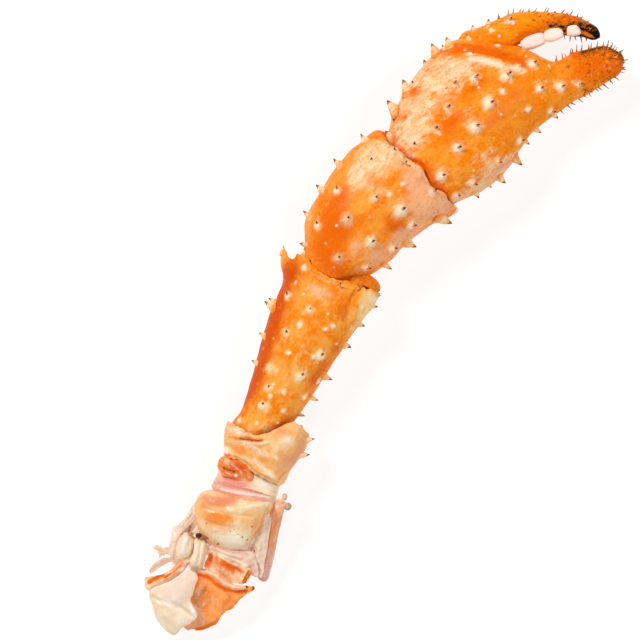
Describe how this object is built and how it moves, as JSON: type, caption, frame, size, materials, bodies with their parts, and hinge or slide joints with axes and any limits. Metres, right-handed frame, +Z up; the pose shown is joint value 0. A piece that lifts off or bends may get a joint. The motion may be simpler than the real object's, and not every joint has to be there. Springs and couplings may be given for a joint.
{
  "type": "king crab claw leg",
  "caption": "Cooked king crab claw arm pulled from the body: a spiny claw with a moving finger, a wrist, an upper arm and torn shoulder pieces with some meat.",
  "frame": {"origin": "on the table, under the middle of the leg's box", "axes": "+X from the torn shoulder end towards the claw's tips, +Y towards the side with the moving finger, +Z up from the table through the leg's outer face"},
  "size_m": [0.3344, 0.0898, 0.0391],
  "materials": {
    "shell": "glossy orange shell, mottled from cream to deep orange, with pale warts and dark-tipped spines",
    "pale_shell": "glossy cream shell with light orange patches",
    "knob": "glossy red-orange joint knob",
    "skin": "moist translucent pinkish joint skin",
    "pink_shell": "smooth pinkish shell with a paler border",
    "torn_shell": "inner face of torn shell, orange with fine pits",
    "meat": "moist off-white cooked meat"
  },
  "bodies": {
    "root": {"palm": "shell", "finger": "shell", "wrist": "shell", "upper_arm": "shell", "arm_base": "pale_shell", "hip": "pale_shell", "hip_skin": "skin", "hip_knob": "knob", "wrist_knob": "knob", "elbow_knob": "knob", "side_plate": "pink_shell", "side_web": "skin", "inner_flap": "torn_shell", "torn_plate": "torn_shell", "meat_flap": "meat", "meat_lump": "meat", "meat_strand": "meat", "rim_strip": "torn_shell", "tatter_wide": "skin", "tatter_thin": "skin"}
  },
  "joints": []
}
